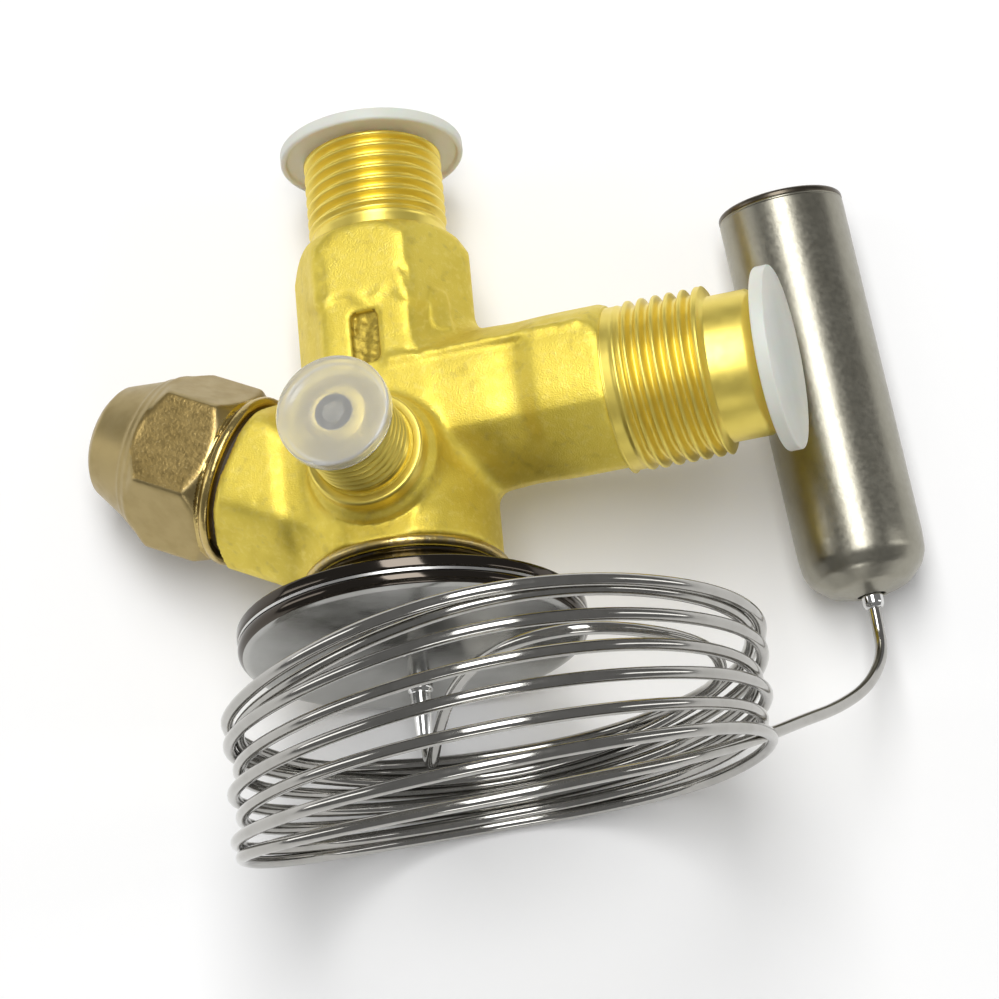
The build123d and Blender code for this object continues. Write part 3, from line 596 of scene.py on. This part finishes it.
# ---------------------------------------------------------------- capillary
CORD = [
    # from the stub, up the front, and round the smaller first turn
    (-0.00545, -0.03800, 0.00975), (-0.00540, -0.04020, 0.01030), (-0.00500, -0.04200, 0.01300), (-0.00440, -0.04130, 0.01850),
    (-0.00340, -0.04000, 0.02500), (-0.00190, -0.03840, 0.03200), (0.00060, -0.03700, 0.03900), (0.00400, -0.03620, 0.04430),
    (0.00880, -0.03580, 0.04760), (0.01400, -0.03580, 0.04860), (0.01900, -0.03610, 0.04630), (0.02360, -0.03640, 0.04180),
    (0.02680, -0.03660, 0.03480), (0.02790, -0.03700, 0.02700), (0.02720, -0.03730, 0.01900), (0.02400, -0.03730, 0.01180),
    (0.01850, -0.03780, 0.00520), (0.01150, -0.03845, 0.00140), (0.00400, -0.03905, 0.00075), (-0.00350, -0.03950, 0.00160),
    (-0.01050, -0.03985, 0.00460), (-0.01750, -0.04040, 0.01000), (-0.02300, -0.04000, 0.01850),
    # turn 1, from its left side over the top
    (-0.02667, -0.03920, 0.02990), (-0.02440, -0.03867, 0.04129), (-0.01795, -0.03691, 0.05095), (-0.00829, -0.03477, 0.05740),
    (0.00310, -0.03311, 0.05967), (0.01449, -0.03255, 0.05740), (0.02415, -0.03271, 0.05095), (0.03060, -0.03311, 0.04129),
    (0.03287, -0.03390, 0.02990), (0.03060, -0.03530, 0.01851), (0.02415, -0.03714, 0.00885), (0.01449, -0.03907, 0.00240),
    (0.00310, -0.04039, 0.00013), (-0.00829, -0.04062, 0.00240), (-0.01779, -0.04043, 0.00901), (-0.02381, -0.04046, 0.01875),
    # turn 2, from its left side over the top
    (-0.02549, -0.04040, 0.02990), (-0.02332, -0.03982, 0.04084), (-0.01712, -0.03841, 0.05012), (-0.00784, -0.03610, 0.05632),
    (0.00310, -0.03402, 0.05849), (0.01404, -0.03326, 0.05632), (0.02332, -0.03341, 0.05012), (0.02952, -0.03388, 0.04084),
    (0.03169, -0.03480, 0.02990), (0.02952, -0.03634, 0.01896), (0.02332, -0.03829, 0.00968), (0.01404, -0.04030, 0.00348),
    (0.00310, -0.04167, 0.00131), (-0.00784, -0.04193, 0.00348), (-0.01727, -0.04166, 0.00953), (-0.02388, -0.04158, 0.01873),
    # turn 3, from its left side over the top
    (-0.02661, -0.04160, 0.02990), (-0.02435, -0.04131, 0.04127), (-0.01791, -0.04035, 0.05091), (-0.00827, -0.03863, 0.05735),
    (0.00310, -0.03700, 0.05961), (0.01447, -0.03628, 0.05735), (0.02411, -0.03615, 0.05091), (0.03055, -0.03621, 0.04127),
    (0.03281, -0.03670, 0.02990), (0.03055, -0.03791, 0.01853), (0.02411, -0.03955, 0.00889), (0.01447, -0.04118, 0.00245),
    (0.00310, -0.04240, 0.00019), (-0.00827, -0.04295, 0.00245), (-0.01779, -0.04328, 0.00901), (-0.02389, -0.04377, 0.01872),
    # turn 4, from its left side over the top
    (-0.02570, -0.04410, 0.02990), (-0.02351, -0.04394, 0.04092), (-0.01726, -0.04319, 0.05026), (-0.00792, -0.04188, 0.05651),
    (0.00310, -0.04048, 0.05870), (0.01412, -0.03945, 0.05651), (0.02346, -0.03894, 0.05026), (0.02971, -0.03896, 0.04092),
    (0.03190, -0.03950, 0.02990), (0.02971, -0.04048, 0.01888), (0.02346, -0.04166, 0.00954), (0.01412, -0.04277, 0.00329),
    (0.00310, -0.04372, 0.00110), (-0.00792, -0.04452, 0.00329), (-0.01738, -0.04528, 0.00942), (-0.02394, -0.04613, 0.01870),
    # turn 5, from its left side over the top
    (-0.02656, -0.04680, 0.02990), (-0.02431, -0.04689, 0.04125), (-0.01788, -0.04629, 0.05088), (-0.00825, -0.04509, 0.05731),
    (0.00310, -0.04379, 0.05956), (0.01445, -0.04284, 0.05731), (0.02408, -0.04209, 0.05088), (0.03051, -0.04139, 0.04125),
    (0.03276, -0.04120, 0.02990), (0.03051, -0.04189, 0.01855), (0.02408, -0.04296, 0.00892), (0.01445, -0.04386, 0.00249),
    (0.00310, -0.04471, 0.00024), (-0.00825, -0.04574, 0.00250), (-0.01777, -0.04698, 0.00903), (-0.02392, -0.04828, 0.01871),
    # turn 6, from its left side over the top
    (-0.02580, -0.04920, 0.02990), (-0.02360, -0.04942, 0.04096), (-0.01733, -0.04906, 0.05033), (-0.00796, -0.04829, 0.05660),
    (0.00310, -0.04730, 0.05880), (0.01416, -0.04623, 0.05660), (0.02353, -0.04516, 0.05033), (0.02980, -0.04420, 0.04096),
    (0.03200, -0.04380, 0.02990), (0.02980, -0.04425, 0.01884), (0.02353, -0.04499, 0.00947), (0.01416, -0.04547, 0.00320),
    (0.00310, -0.04610, 0.00100), (-0.00796, -0.04736, 0.00320), (-0.01744, -0.04896, 0.00936), (-0.02401, -0.05054, 0.01867),
    # turn 7, from its left side over the top
    (-0.02661, -0.05180, 0.02990), (-0.02435, -0.05249, 0.04127), (-0.01791, -0.05260, 0.05091), (-0.00827, -0.05222, 0.05735),
    (0.00310, -0.05130, 0.05961), (0.01447, -0.04986, 0.05735), (0.02411, -0.04820, 0.05091), (0.03055, -0.04672, 0.04127),
    (0.03281, -0.04590, 0.02990), (0.03055, -0.04602, 0.01853), (0.02411, -0.04645, 0.00889), (0.01447, -0.04659, 0.00245),
    (0.00310, -0.04700, 0.00019), (-0.00827, -0.04830, 0.00245), (-0.01790, -0.05015, 0.00890), (-0.02433, -0.05201, 0.01854),
    # over the front once more, down to the bulb and into its neck
    (-0.02620, -0.05330, 0.03000), (-0.02400, -0.05400, 0.03800), (-0.01760, -0.05430, 0.04490), (-0.00810, -0.05400, 0.04940),
    (0.00310, -0.05330, 0.05100), (0.01330, -0.05190, 0.04960), (0.02180, -0.05010, 0.04450), (0.02830, -0.04770, 0.03750),
    (0.03240, -0.04550, 0.03090), (0.03620, -0.04320, 0.02450), (0.04030, -0.04100, 0.01820), (0.04420, -0.03800, 0.01280),
    (0.04660, -0.03390, 0.00900), (0.04650, -0.02950, 0.00725), (0.04608, -0.02510, 0.00725),
]

curve = bpy.data.curves.new("capillary", "CURVE")
curve.dimensions = "3D"
curve.resolution_u = 8
curve.bevel_depth = 0.0007
curve.bevel_resolution = 5
curve.use_fill_caps = True
spline = curve.splines.new("NURBS")
spline.points.add(len(CORD) - 1)
for point, place in zip(spline.points, CORD):
    point.co = (*place, 1.0)
spline.order_u = 3
spline.use_endpoint_u = True
capillary = bpy.data.objects.new("capillary", curve)
bpy.context.scene.collection.objects.link(capillary)
capillary.data.materials.append(tube_m)
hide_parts("capillary_lead", "capillary_coil", "capillary_tail")
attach(capillary, "valve")

# ---------------------------------------------------------------- floor, light and camera
scene = bpy.context.scene
floor = make("floor", [(-3, -3, -0.00002), (3, -3, -0.00002), (3, 3, -0.00002), (-3, 3, -0.00002)], [(0, 1, 2, 3)], smooth=False)
fm = bpy.data.materials.new("floor_white")
fm.use_nodes = True
fp = fm.node_tree.nodes["Principled BSDF"]
fp.inputs["Base Color"].default_value = (0.93, 0.93, 0.93, 1)
fp.inputs["Roughness"].default_value = 0.9
fp.inputs["Specular IOR Level"].default_value = 0.0
fp.inputs["Emission Color"].default_value = (1, 1, 1, 1)
fp.inputs["Emission Strength"].default_value = 0.08
ftc = fm.node_tree.nodes.new("ShaderNodeTexCoord")
fn = fm.node_tree.nodes.new("ShaderNodeTexNoise")
fn.inputs["Scale"].default_value = 4.0
fm.node_tree.links.new(ftc.outputs["Object"], fn.inputs["Vector"])
fr = fm.node_tree.nodes.new("ShaderNodeMapRange")
fr.inputs["To Min"].default_value = 0.88
fr.inputs["To Max"].default_value = 0.92
fm.node_tree.links.new(fn.outputs["Fac"], fr.inputs["Value"])
fm.node_tree.links.new(fr.outputs["Result"], fp.inputs["Roughness"])
floor.data.materials.append(fm)


def softbox(name, at, aim, size_x, size_y, power, colour=(1, 1, 1)):
    light = bpy.data.lights.new(name, "AREA")
    light.shape = "RECTANGLE"
    light.size = size_x
    light.size_y = size_y
    light.energy = power
    light.color = colour
    ob = bpy.data.objects.new(name, light)
    bpy.context.scene.collection.objects.link(ob)
    ob.location = at
    ob.rotation_euler = (Vector(aim) - Vector(at)).to_track_quat("-Z", "Y").to_euler()
    return ob


mid = (0.0, -0.01, 0.01)
lights = [
    softbox("key", (-0.02, 0.20, 0.80), mid, 0.34, 0.80, 5.9),
    softbox("left", (-0.80, 0.10, 0.30), mid, 0.25, 0.5, 0.9),
    softbox("right", (0.80, 0.0, 0.30), mid, 0.2, 0.5, 0.7),
    softbox("front", (0.0, -0.85, 0.35), mid, 0.3, 0.2, 0.6),
]

world = bpy.data.worlds.new("studio")
world.use_nodes = True
bg = world.node_tree.nodes["Background"]
bg.inputs["Color"].default_value = (0.5, 0.5, 0.5, 1)
bg.inputs["Strength"].default_value = 0.42
scene.world = world

cam = bpy.data.cameras.new("camera")
cam.sensor_width = 36.0
cam.lens = 172.2705
cam.clip_start = 0.01
cam.clip_end = 10.0
camera = bpy.data.objects.new("camera", cam)
scene.collection.objects.link(camera)
camera.matrix_world = Matrix(((0.9950423, 0.0990642, 0.0087785, 0.0101275),
                              (-0.0939974, 0.9656255, -0.2423467, -0.1429974),
                              (-0.0324846, 0.2403201, 0.97015, 0.5361037),
                              (0, 0, 0, 1)))
scene.camera = camera
scene.view_settings.view_transform = "Standard"
scene.view_settings.look = "None"
